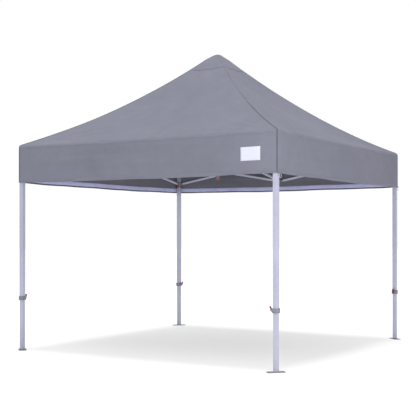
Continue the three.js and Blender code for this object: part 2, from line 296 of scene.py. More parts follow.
# ================================================================ mesh builder for the hardware, in mm
def rsq(hx, hy, r, seg=4):
    """Rounded rectangle outline, counter-clockwise."""
    pts = []
    for cx, cy, a0 in ((hx - r, hy - r, 0), (-hx + r, hy - r, 90), (-hx + r, -hy + r, 180), (hx - r, -hy + r, 270)):
        for i in range(seg + 1):
            a = math.radians(a0 + 90 * i / seg)
            pts.append((cx + r * math.cos(a), cy + r * math.sin(a)))
    return np.array(pts)


def circle(r, n=32):
    a = np.arange(n) * 2 * math.pi / n
    return np.stack([r * np.cos(a), r * np.sin(a)], 1)


def level(outline, z):
    return np.column_stack([outline, np.full(len(outline), z)])


class MB:
    def __init__(self):
        self.v, self.f, self.m, self.mats = [], [], [], []

    def mat(self, m):
        if m not in self.mats:
            self.mats.append(m)
        return self.mats.index(m)

    def loft(self, rings, material, M=None, caps=True, cyclic=False):
        M = np.array(M if M is not None else Matrix.Identity(4), float)
        base, n, k = len(self.v), len(rings[0]), self.mat(material)
        for r in rings:
            r = np.asarray(r, float)
            self.v.extend((r @ M[:3, :3].T + M[:3, 3]).tolist())
        flip = np.linalg.det(M[:3, :3]) < 0
        count = len(rings)
        faces = []
        for i in range(count if cyclic else count - 1):
            j = (i + 1) % count
            for a in range(n):
                b = (a + 1) % n
                faces.append((base + i * n + a, base + i * n + b, base + j * n + b, base + j * n + a))
        if caps and not cyclic:
            faces.append(tuple(base + a for a in reversed(range(n))))
            faces.append(tuple(base + (count - 1) * n + a for a in range(n)))
        if flip:
            faces = [tuple(reversed(f)) for f in faces]
        self.f.extend(faces)
        self.m.extend([k] * len(faces))

    def slab(self, hx, hy, r, z0, z1, bevel, material, M=None, seg=4, steps=3):
        """Upright rounded block with rounded rims."""
        rings = []
        for s in range(steps + 1):
            a = math.pi / 2 * s / steps
            d = bevel * (1 - math.sin(a))
            rings.append(level(rsq(hx - d, hy - d, max(r - d, 0.2), seg), z0 + bevel * (1 - math.cos(a))))
        for s in range(steps + 1):
            a = math.pi / 2 * s / steps
            d = bevel * (1 - math.cos(a))
            rings.append(level(rsq(hx - d, hy - d, max(r - d, 0.2), seg), z1 - bevel * (1 - math.sin(a))))
        self.loft(rings, material, M)

    def tube(self, outline_out, outline_in, z0, z1, material, M=None, bevel=0.5):
        o, i = np.asarray(outline_out), np.asarray(outline_in)
        mid = (o + i) / 2
        t = bevel / max(1e-6, np.linalg.norm(o - i, axis=1).mean())
        t = min(t, 0.45)
        self.loft([level(o, z0 + bevel), level(o, z1 - bevel), level(o * (1 - t) + i * t, z1), level(i * (1 - t) + o * t, z1),
                   level(i, z1 - bevel), level(i, z0 + bevel), level(i * (1 - t) + o * t, z0), level(o * (1 - t) + i * t, z0)],
                  material, M, cyclic=True)

    def lathe(self, profile, material, M=None, n=40):
        """profile: (r, z) from bottom to top. Closed by caps."""
        self.loft([level(circle(max(r, 0.05), n), z) for r, z in profile], material, M)

    def turn(self, profile, material, M=None, n=40):
        """profile: a closed loop of (r, z), counter-clockwise seen with r to the right: a ring."""
        self.loft([level(circle(r, n), z) for r, z in profile], material, M, cyclic=True)

    def bolt(self, centre, axis, side, r=6.0, h=3.4, washer=8.0, nut=False, M=None, material=None):
        """Hexagon head or nut with its washer, standing out along axis*side from centre."""
        material = material or ZINC
        z = Vector(axis) * side
        rot = z.to_track_quat("Z", "Y").to_matrix().to_4x4()
        T = (M or Matrix.Identity(4)) @ Matrix.Translation(centre) @ rot
        self.lathe([(washer - 0.5, 0.0), (washer, 0.3), (washer, 0.9), (washer - 0.5, 1.2)], material, T, 28)
        a = np.arange(24) * 2 * math.pi / 24
        hexr = r * math.cos(math.pi / 6) / np.cos((a % (math.pi / 3)) - math.pi / 6)
        ring = lambda s, zz: level(np.stack([np.minimum(hexr, s) * np.cos(a), np.minimum(hexr, s) * np.sin(a)], 1), zz)
        self.loft([ring(r, 1.1), ring(r, 1.1 + h * 0.75), ring(r * 0.9, 1.1 + h)], material, T)
        if nut:
            self.lathe([(r * 0.5, 1.0), (r * 0.5, 1.1 + h + 1.0), (r * 0.38, 1.1 + h + 1.6)], material, T, 20)

    def rivet(self, centre, axis, side, r=5.5, h=2.6, M=None, material=None):
        z = Vector(axis) * side
        T = (M or Matrix.Identity(4)) @ Matrix.Translation(centre) @ z.to_track_quat("Z", "Y").to_matrix().to_4x4()
        prof = [(r, 0.0)] + [(r * math.cos(t), h * math.sin(t)) for t in np.linspace(0.1, 1.45, 6)]
        self.lathe(prof, material or ZINC, T, 24)

    def pin(self, a, b, r, material, M=None, n=20):
        a, b = Vector(a), Vector(b)
        T = (M or Matrix.Identity(4)) @ Matrix.Translation(a) @ (b - a).to_track_quat("Z", "Y").to_matrix().to_4x4()
        self.lathe([(r, 0), (r, (b - a).length)], material, T, n)

    def ear(self, x0, x1, z, half, y0, y1, material, M=None, seg=10):
        """One cheek of a bracket: flat plate in XZ with a round outer end, its rims eased."""
        pts = [(x0, -half), (x1 - half, -half)]
        for i in range(1, seg):
            a = -math.pi / 2 + math.pi * i / seg
            pts.append((x1 - half + half * math.cos(a), half * math.sin(a)))
        pts += [(x1 - half, half), (x0, half)]
        pts = np.array(pts)
        c = np.array([(x0 + x1) / 2, 0])
        e = 0.5
        small = c + (pts - c) * np.array([1 - 2 * e / (x1 - x0), 1 - e / half])
        ring = lambda p, y: np.stack([p[:, 0], np.full(len(p), y), p[:, 1] + z], 1)
        self.loft([ring(small, y1), ring(pts, y1 - e), ring(pts, y0 + e), ring(small, y0)], material, M)

    def clevis(self, degrees, start, pivot, z, offset, material, M=None, bolts=True):
        T = (M or Matrix.Identity(4)) @ Matrix.Rotation(math.radians(degrees), 4, "Z")
        inner = BAR_T / 2 + GAP
        for s in (-1, 1):
            y = sorted((offset + s * inner, offset + s * (inner + EAR_T)))
            self.ear(start, pivot + 11, z, 11, y[0], y[1], material, T)
            # a root rib that ties the cheek into the block
            yr = sorted((offset + s * (inner + EAR_T) - s * 0.2, offset + s * (inner + EAR_T) + s * 1.4))
            self.loft([np.array([[start, yy, z - 8.5], [start + 12, yy, z - 4.0], [start + 12, yy, z + 4.0], [start, yy, z + 8.5]])
                       for yy in (yr[1], yr[0])], material, T)
        out = inner + EAR_T
        self.pin((pivot, offset - out, z), (pivot, offset + out, z), 3.9, ZINC, T)
        if bolts:
            self.bolt((pivot, offset + out, z), (0, 1, 0), 1, M=T, r=5.4, h=2.4, washer=6.6)
            self.bolt((pivot, offset - out, z), (0, 1, 0), -1, M=T, r=5.2, h=2.2, washer=6.6, nut=False)

    def make(self, name, body, replaces=(), angle=32, collection=None):
        me = bpy.data.meshes.new(name)
        me.from_pydata([tuple(c * MM for c in p) for p in self.v], [], self.f)
        for m in self.mats:
            me.materials.append(m)
        me.polygons.foreach_set("material_index", self.m)
        me.polygons.foreach_set("use_smooth", [True] * len(self.f))
        me.update()
        me.set_sharp_from_angle(angle=math.radians(angle))
        o = bpy.data.objects.new(name, me)
        bpy.context.scene.collection.objects.link(o)
        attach(o, body)
        if replaces:
            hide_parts(*([replaces] if isinstance(replaces, str) else replaces))
        return o


def place(x, y, degrees, z=0.0):
    return Matrix.Translation((x, y, z)) @ Matrix.Rotation(math.radians(degrees), 4, "Z")


# ---------------------------------------------------------------- truss bars
def bar(name, M, with_rivet):
    b = MB()
    x0, x1 = -7.5, BAR_L + 7.5
    sect = rsq(BAR_T / 2, BAR_H / 2, 2.2, 3)
    # the pressed tube has a shallow groove down each wide face
    ring = lambda x, e=0.0: np.column_stack([np.full(len(sect), x), sect[:, 0] * (1 - e / 6), sect[:, 1] * (1 - e / 12)])
    b.loft([ring(x, e) for x, e in ((x0, 0.6), (x0 + 0.6, 0), (x1 - 0.6, 0), (x1, 0.6))], BAR_PAINT, M)
    for s in (-1, 1):
        for zc in (-5.2, 5.2):
            strip = np.array([[0, -1.1], [0.35, -0.6], [0.35, 0.6], [0, 1.1]])
            rings = [np.column_stack([np.full(4, x), s * (BAR_T / 2 - 0.08 + strip[:, 0]), zc + strip[:, 1]]) for x in (26, BAR_L - 26)]
            b.loft(rings if s < 0 else rings[::-1], BAR_PAINT, M)
    # moulded end plugs
    for x, s in ((x0, -1), (x1, 1)):
        plug = rsq(BAR_T / 2 - 0.05, BAR_H / 2 + 0.25, 2.3, 3)
        pr = lambda xx, k: np.column_stack([np.full(len(plug), xx), plug[:, 0] * k, plug[:, 1] * k])
        rings = [pr(x - s * 14, 1.0), pr(x - s * 13.6, 1.012), pr(x + s * 1.6, 1.012), pr(x + s * 3.0, 0.9), pr(x + s * 3.4, 0.6)]
        b.loft(rings if s > 0 else rings[::-1], DARK_NYLON, M)
    if with_rivet:
        m = BAR_L / 2
        b.turn([(4.1, 6.1), (8.2, 6.1), (8.2, 8.9), (4.1, 8.9)], DARK_NYLON, M @ Matrix.Translation((m, 0, 0)) @ Matrix.Rotation(-math.pi / 2, 4, "X"))
        b.pin((m, -6, 0), (m, 21.2, 0), 3.9, ZINC, M)
        b.rivet((m, 21.3, 0), (0, 1, 0), 1, M=M, r=7.4, h=2.4)
        b.rivet((m, -6, 0), (0, 1, 0), -1, M=M, r=7.4, h=2.2)
    o = b.make(name.replace("_bar_", "_tube_"), name, replaces=name)
    return o


def scissor(M, falling, rising):
    bar(falling, M @ Matrix.Translation((0, -PLANE, Z_TOP)) @ Matrix.Rotation(TILT, 4, "Y"), True)
    bar(rising, M @ Matrix.Translation((0, PLANE, Z_LOW)) @ Matrix.Rotation(-TILT, 4, "Y"), False)


def side_bracket(name, M, z, offset):
    half = PLANE + BAR_T / 2 + GAP + EAR_T
    b = MB()
    b.slab(half, half, 3.2, z - 14, z + 14, 2.0, NYLON, M)
    for dz in (-8, 0, 8):
        b.slab(half + 0.5, half + 0.5, 3.4, z + dz - 1.1, z + dz + 1.1, 0.5, NYLON, M, steps=1)
    b.lathe([(5.0, z + 14.0), (5.0, z + 14.9), (3.4, z + 15.2)], ZINC, M, 24)
    for a in (180, 90, -90):
        b.clevis(a, half - 1, R_MID, z, offset, NYLON, M)
    b.make(name.replace("side_bracket", "mid_joint"), name, replaces=name)


for side, deg in SIDES:
    G = Matrix.Rotation(math.radians(deg), 4, "Z")
    scissor(G @ Matrix.Translation((R_HUB, 0, 0)), f"inner_bar_{side}_falling", f"inner_bar_{side}_rising")
    mid = G @ Matrix.Translation((LEG, 0, 0))
    side_bracket(f"side_bracket_{side}_upper", mid, Z_TOP, UPPER)
    side_bracket(f"side_bracket_{side}_lower", mid, Z_LOW, LOWER)
    for half, turn in (("a", 90), ("b", -90)):
        S = mid @ Matrix.Rotation(math.radians(turn), 4, "Z") @ Matrix.Translation((R_MID, 0, 0))
        scissor(S, f"edge_bar_{side}_{half}_falling", f"edge_bar_{side}_{half}_rising")

# ---------------------------------------------------------------- centre hubs and peak pole
b = MB()
bore = 11.9
b.turn([(bore, Z_TOP - 32), (16.2, Z_TOP - 32), (17, Z_TOP - 31), (17, Z_TOP - 17), (23.6, Z_TOP - 15.4), (24.6, Z_TOP - 14), (24.6, Z_TOP + 11.6),
        (23.4, Z_TOP + 13), (bore + 2, Z_TOP + 13), (bore, Z_TOP + 12)], NYLON, n=48)
for k in range(16):
    a = math.radians(22.5 * k + 11.25)
    T = Matrix.Rotation(a, 4, "Z") @ Matrix.Translation((24.4, 0, 0))
    b.slab(0.9, 1.1, 0.5, Z_TOP - 12, Z_TOP + 9.5, 0.4, NYLON, T, seg=1, steps=1)
for a in (0, 90, 180, 270):
    b.clevis(a, 20, R_HUB, Z_TOP, UPPER, NYLON)
b.make("hub_top_joint", "upper_hub_and_canopy", replaces="center_hub_upper")

b = MB()
b.lathe([(3, Z_LOW - 48), (19.6, Z_LOW - 48), (21, Z_LOW - 46.6), (21, Z_LOW - 35), (23.6, Z_LOW - 34), (24.6, Z_LOW - 32.6), (24.6, Z_LOW + 11.6), (23.4, Z_LOW + 13),
         (15.5, Z_LOW + 13.4)], NYLON, n=48)
b.turn([(bore, Z_LOW + 4), (14.5, Z_LOW + 4), (14.5, 2065.2), (13.9, 2066), (bore + 0.5, 2066), (bore, 2065.4)], BAR_PAINT, n=40)
for k in range(16):
    a = math.radians(22.5 * k + 11.25)
    T = Matrix.Rotation(a, 4, "Z") @ Matrix.Translation((24.4, 0, 0))
    b.slab(0.9, 1.1, 0.5, Z_LOW - 30, Z_LOW + 9.5, 0.4, NYLON, T, seg=1, steps=1)
for a in (0, 90, 180, 270):
    b.clevis(a, 20, R_HUB, Z_LOW, LOWER, NYLON)
b.make("hub_low_joint", "lower_hub", replaces="center_hub_lower")

b = MB()
b.lathe([(15.5, Z_LOW - 63), (19.5, Z_LOW - 62), (21.5, Z_LOW - 59.5), (22.3, Z_LOW - 55), (22.3, Z_LOW - 48.4), (20.5, Z_LOW - 47.4)], RED, n=48)
for k in range(20):
    T = Matrix.Rotation(2 * math.pi * k / 20, 4, "Z") @ Matrix.Translation((22.3, 0, 0))
    b.slab(0.7, 1.3, 0.5, Z_LOW - 57, Z_LOW - 49.4, 0.4, RED, T, seg=1, steps=1)
b.make("hub_red_cap", "lower_hub")

b = MB()
b.turn([(9.4, 1840.4), (10.5, 1840), (11, 1840.6), (11, 3129), (9.4, 3129)], BAR_PAINT, n=40)
b.lathe([(12.5, 3123), (14.5, 3124.5), (15.5, 3129), (34, 3130), (37.5, 3131), (40, 3134.5), (39.6, 3138.5), (36.5, 3142.5), (30, 3145.6), (20, 3147.6), (8, 3148), (2, 3148)], NYLON, n=48)
for k in range(8):
    T = Matrix.Rotation(2 * math.pi * k / 8, 4, "Z") @ Matrix.Translation((24, 0, 0))
    b.slab(9, 0.9, 0.5, 3123.5, 3131, 0.5, NYLON, T, seg=1, steps=1)
b.make("pole_and_cap", "peak_pole", replaces="peak_pole")


# ---------------------------------------------------------------- legs
def leg_outline(h, r, groove=0.7, seg=4):
    """Square tube outline with rounded corners and two rolled grooves on each face."""
    face = [(-10.2, 0), (-9.0, groove), (-7.4, groove), (-6.2, 0), (6.2, 0), (7.4, groove), (9.0, groove), (10.2, 0)]
    pts = []
    for k in range(4):
        c, s = math.cos(math.pi / 2 * k), math.sin(math.pi / 2 * k)
        loc = []
        for t, d in face:
            loc.append((h - d, t))
        for i in range(seg + 1):
            a = math.pi / 2 * i / seg
            loc.append((h - r + r * math.cos(a), h - r + r * math.sin(a)))
        pts += [(c * x - s * y, s * x + c * y) for x, y in loc[:-1] + [loc[-1]]]
    return np.array(pts)


def inset(outline, d):
    """Outline moved inwards by d, by its vertex normals."""
    p = np.asarray(outline)
    e = np.roll(p, -1, 0) - np.roll(p, 1, 0)
    n = np.stack([-e[:, 1], e[:, 0]], 1)
    n /= np.linalg.norm(n, axis=1)[:, None]
    return p + n * d


def holed_plate(name, outline, holes, z0, z1, bevel):
    """A flat plate with round holes, its edges eased, as mesh data in metres."""
    cu = bpy.data.curves.new(name, "CURVE")
    cu.dimensions, cu.fill_mode = "2D", "BOTH"
    cu.extrude, cu.bevel_depth, cu.bevel_resolution = ((z1 - z0) / 2 - bevel) * MM, bevel * MM, 2
    for loop in [outline, *holes]:
        sp = cu.splines.new("POLY")
        sp.points.add(len(loop) - 1)
        for p, q in zip(sp.points, loop):
            p.co = (q[0] * MM, q[1] * MM, 0, 1)
        sp.use_cyclic_u = True
    tmp = bpy.data.objects.new(name + "_tmp", cu)
    bpy.context.scene.collection.objects.link(tmp)
    bpy.context.view_layer.update()
    me = bpy.data.meshes.new_from_object(tmp.evaluated_get(bpy.context.evaluated_depsgraph_get()))
    bpy.data.objects.remove(tmp)
    bpy.data.curves.remove(cu)
    v = np.array([x.co for x in me.vertices]) / MM
    v[:, 2] += (z0 + z1) / 2
    f = [tuple(p.vertices) for p in me.polygons]
    bpy.data.meshes.remove(me)
    return v, f


foot_outline = inset(rsq(82.5, 40, 16, 6), 0.6)
foot_v, foot_f = holed_plate("foot", foot_outline, [circle(6.9, 24) + (x, 0) for x in (-62, 62)], 0, 4, 0.6)

for corner, sx, sy, deg in CORNERS:
    M = place(sx * LEG, sy * LEG, deg)
    # upper leg with its crown
    b = MB()
    out = leg_outline(22, 3.2)
    b.tube(out, inset(out, 1.2), 530, 2090, LEG_PAINT, M, bevel=0.4)
    b.slab(24.2, 24.2, 5.8, 2072, 2118, 7.0, NYLON, M, seg=5, steps=5)
    b.slab(24.7, 24.7, 6.4, 2079, 2084, 1.0, NYLON, M, seg=5, steps=2)
    b.slab(11, 11, 4, 2116, 2119.4, 1.2, NYLON, M, seg=4, steps=2)
    for a in (180, 90):
        b.clevis(a, 22.5, R_LEG, Z_TOP, UPPER, NYLON, M)
    # self-tapping screw on each outer face of the crown
    for ax, s in (((1, 0, 0), 1), ((0, 1, 0), -1)):
        b.rivet((ax[0] * 24.1, ax[1] * s * 24.1, 2088), ax, s, r=3.4, h=1.5, M=M)
    b.make(f"leg_outer_{corner}", f"upper_leg_{corner}", replaces=f"upper_leg_{corner}")

    # lower leg with its foot
    b = MB()
    inn = leg_outline(19.7, 2.8, 0.5)
    b.tube(inn, inset(inn, 1.1), 3.6, 1050, LEG_PAINT, M, bevel=0.35)
    weld = leg_outline(19.7, 2.8, 0.0)
    grown = lambda d: inset(weld, -d)
    b.loft([level(grown(-1.0), 3.4), level(grown(3.4), 3.6), level(grown(2.6), 4.8), level(grown(1.1), 6.0), level(grown(0.1), 7.2), level(grown(-1.0), 7.4)], FOOT, M)
    T = M @ Matrix.Rotation(math.radians(45), 4, "Z")
    base, k = len(b.v), b.mat(FOOT)
    R = np.array(T, float)
    b.v.extend((foot_v @ R[:3, :3].T + R[:3, 3]).tolist())
    b.f.extend([tuple(base + i for i in f) for f in foot_f])
    b.m.extend([k] * len(foot_f))
    # spring button and its pressed dimple near the top of the tube's run
    for z in (470, 445, 420):
        b.turn([(3.4, 0), (4.9, 0), (4.6, 0.5), (3.7, 0.5)], LEG_PAINT, M @ Matrix.Translation((0, -19.6, z)) @ Matrix.Rotation(math.pi / 2, 4, "X"), 24)
        b.lathe([(3.5, -0.2), (3.5, 0.06)], DARK_NYLON, M @ Matrix.Translation((0, -19.6, z)) @ Matrix.Rotation(math.pi / 2, 4, "X"), 24)
    b.make(f"leg_inner_{corner}", f"lower_leg_{corner}", replaces=f"lower_leg_{corner}")

    # slider with its release housing
    b = MB()
    ring_o, ring_i = rsq(26.3, 26.3, 6.8, 6), rsq(22.6, 22.6, 2.8, 6)
    b.tube(ring_o, ring_i, 1806, 1886, NYLON, M, bevel=1.3)
    for z in (1810, 1846, 1880):
        b.tube(rsq(27.0, 27.0, 7.3, 6), rsq(26.0, 26.0, 6.5, 6), z - 1.6, z + 1.6, NYLON, M, bevel=0.45)
    H = M @ Matrix.Translation((7, 26.0, 1822)) @ Matrix.Rotation(-math.pi / 2, 4, "X")
    b.tube(rsq(15, 16, 3.4, 5), rsq(13.0, 14.0, 2.2, 5), -0.6, 11.8, NYLON, H, bevel=0.8)
    for a in (180, 90):
        b.clevis(a, 25.3, R_LEG, Z_LOW, LOWER, NYLON, M)
    b.rivet((26.1, 0, 1862), (1, 0, 0), 1, r=3.4, h=1.0, M=M)
    b.rivet((0, -26.1, 1862), (0, 1, 0), -1, r=3.4, h=1.0, M=M)
    b.make(f"runner_{corner}", f"slider_{corner}", replaces=f"slider_{corner}")

    # release button: a domed pad with grip bars
    b = MB()
    H = M @ Matrix.Translation((7, 32.4, 1822)) @ Matrix.Rotation(-math.pi / 2, 4, "X")
    rings = []
    for z, d in ((0, 0.8), (0.8, 0), (9.6, 0), (11.4, 0.8), (12.6, 2.6), (13.0, 5.2)):
        rings.append(level(rsq(12.4 - d, 13.4 - d, 2.4, 4), z))
    b.loft(rings, RED, H)
    for t in (-6, 0, 6):
        b.slab(7.4, 0.9, 0.6, 12.4, 13.6, 0.5, RED, H @ Matrix.Translation((0, t, 0)), seg=2, steps=1)
    b.make(f"push_button_{corner}", f"release_button_{corner}", replaces=f"release_button_{corner}")

    # collar at the outer tube's end
    b = MB()
    co, ci = rsq(28.5, 28.5, 5.8, 6), rsq(22.5, 22.5, 2.8, 6)
    b.tube(co, ci, 530, 559, NYLON, M, bevel=1.4)
    b.tube(rsq(28.0, 28.0, 5.5, 6), rsq(20.4, 20.4, 2.4, 6), 517, 530.6, NYLON, M, bevel=1.4)
    for z in (523, 538, 552):
        b.tube(rsq(29.1, 29.1, 6.3, 6), rsq(28.0, 28.0, 5.7, 6), z - 1.4, z + 1.4, NYLON, M, bevel=0.45)
    for y0 in (-15, 12.5):
        pts = np.array([(-27.5, 529), (-43, 530), (-47.5, 533), (-50, 539), (-49.4, 545), (-46.5, 550), (-42, 552), (-27.5, 556)])
        c = pts.mean(0)
        sm = c + (pts - c) * 0.94
        rg = lambda p, y: np.stack([p[:, 0], np.full(len(p), y), p[:, 1]], 1)
        b.loft([rg(sm, y0), rg(pts, y0 + 0.5), rg(pts, y0 + 2.0), rg(sm, y0 + 2.5)], NYLON, M)
    b.pin((-44, -16.2, 541), (-44, 16.2, 541), 2.4, ZINC, M)
    for s in (-1, 1):
        b.rivet((-44, s * 15.1, 541), (0, 1, 0), s, r=4.2, h=1.6, M=M)
    b.make(f"clamp_{corner}", f"upper_leg_{corner}", replaces=f"leg_collar_{corner}")

    # its lever: a curved paddle with finger ribs
    b = MB()
    L = M @ Matrix.Translation((-44, 0, 541)) @ Matrix.Rotation(math.radians(-23), 4, "Y")
    prof = [(-10.6, -3.0, 3.0, 11.0), (-6, -4.0, 4.0, 11.9), (0, -4.5, 4.5, 11.9), (7, -4.3, 3.9, 11.9), (15, -4.0, 3.1, 11.9), (25, -3.6, 2.6, 11.7), (33, -3.4, 2.2, 11.2), (37, -2.9, 1.4, 9.8), (38.8, -2.0, 0.2, 7.4)]
    rings = []
    for z, xa, xb, hy in prof:
        c, h = (xa + xb) / 2, (xb - xa) / 2
        o = rsq(h, hy, min(1.6, h * 0.8), 3)
        rings.append(np.column_stack([o[:, 0] + c, o[:, 1], np.full(len(o), z)]))
    b.loft(rings, LEVER_RED, L)
    for z in (18, 22, 26, 30):
        b.slab(0.8, 8.5, 0.6, z - 0.8, z + 0.8, 0.4, LEVER_RED, L @ Matrix.Translation((-3.8, 0, 0)), seg=2, steps=1)
    b.make(f"clamp_lever_{corner}", f"collar_lever_{corner}", replaces=f"collar_lever_{corner}")


# ================================================================ fabric top
EAVE, EAVE_Z, HEM_Z, TOP_A, TOP_Z, PEAK_Z = 1.515, 2.125, 1.740, 0.046, 3.155, 3.168
SAG = 0.100
FOLD_LEG, FOLD_SHIFT, FOLD_DROP = 0.14469, 1.33931, 1.003747
NU = 96                      # columns on each side
THICK = 0.0014


def roof_z(t, sag=SAG):
    return EAVE_Z + (TOP_Z - EAVE_Z) * t - 4 * sag * t * (1 - t)


# the meridian at rest: hem, valance, a soft turn at the eave, slope, peak
raw = [(EAVE, z) for z in np.linspace(HEM_Z, EAVE_Z, 78)]
raw += [(EAVE + (TOP_A - EAVE) * t, roof_z(t)) for t in np.linspace(0, 1, 360)[1:]]
raw = np.array(raw)
arc = np.concatenate([[0], np.cumsum(np.linalg.norm(np.diff(raw, axis=0), axis=1))])
fine_arc = np.arange(0, arc[-1], 0.002)
fine = np.stack([np.interp(fine_arc, arc, raw[:, k]) for k in (0, 1)], 1)
kernel = np.exp(-0.5 * (np.arange(-30, 31) * 0.002 / 0.014) ** 2)
kernel /= kernel.sum()
padded = np.pad(fine, ((30, 30), (0, 0)), mode="edge")
smooth = np.stack([np.convolve(padded[:, k], kernel, "valid") for k in (0, 1)], 1)
ends = np.clip(np.minimum(fine_arc, arc[-1] - fine_arc) / 0.05, 0, 1)[:, None]
fine = fine * (1 - ends) + smooth * ends
EAVE_S = EAVE_Z - HEM_Z
CROWN_S = arc[-1]
rows_s = np.concatenate([np.linspace(0, EAVE_S - 0.04, 17), EAVE_S + np.linspace(-0.03, 0.03, 7),
                         EAVE_S + 0.045 + (CROWN_S - EAVE_S - 0.045) * np.linspace(0, 1, 62)])
prof_a = np.interp(rows_s, fine_arc, fine[:, 0])
prof_z = np.interp(rows_s, fine_arc, fine[:, 1])
prof_a[-1], prof_z[-1] = TOP_A, TOP_Z
cap_a = np.array([0.037, 0.027, 0.016, 0.006])
cap_z = TOP_Z + (PEAK_Z - TOP_Z) * np.array([0.40, 0.70, 0.90, 0.99])
prof_a, prof_z = np.concatenate([prof_a, cap_a]), np.concatenate([prof_z, cap_z])
rows_s = np.concatenate([rows_s, CROWN_S + np.cumsum(np.hypot(np.diff(np.append(TOP_A, cap_a)), np.diff(np.append(TOP_Z, cap_z))))])
NR = len(rows_s)
t_row = np.clip((rows_s - EAVE_S) / (CROWN_S - EAVE_S), 0, 1)          # 0 at the eave, 1 at the peak
w_row = np.clip((EAVE_S - rows_s) / EAVE_S, 0, 1)                      # 0 at the eave, 1 at the hem


def section(a, rc, u):
    """Point on the half-width-a rounded square's +x side for u in -1..1: (outward, along)."""
    run = (a - rc) + rc * math.pi / 4
    s = np.abs(u) * run
    th = np.clip((s - (a - rc)) / np.maximum(rc, 1e-6), 0, None)
    x = np.where(s <= a - rc, a, a - rc + rc * np.cos(th))
    y = np.where(s <= a - rc, s, a - rc + rc * np.sin(th))
    return x, y * np.sign(u)


def smoothstep(a, b, x):
    t = np.clip((x - a) / (b - a), 0, 1)
    return t * t * (3 - 2 * t)


u_col = np.linspace(-1, 1, NU + 1)[:-1] + 0.0
u_col = np.sign(u_col) * (1 - (1 - np.abs(u_col)) ** 1.12)              # a little finer at the corners
U, RS = np.meshgrid(u_col, rows_s)
TT, WW = np.broadcast_to(t_row[:, None], U.shape), np.broadcast_to(w_row[:, None], U.shape)
A0, Z0 = np.broadcast_to(prof_a[:, None], U.shape), np.broadcast_to(prof_z[:, None], U.shape)
rc_row = np.where(t_row > 0, 0.020 - 0.008 * smoothstep(0, 0.25, t_row), 0.020)
rc_row = np.maximum(rc_row, prof_a * smoothstep(0.965, 1.0, t_row) * 0.96)
rc_row = np.minimum(rc_row, prof_a * 0.97)
RC = np.broadcast_to(rc_row[:, None], U.shape)
edge_fade = 1 - smoothstep(0.80, 0.97, np.abs(U))

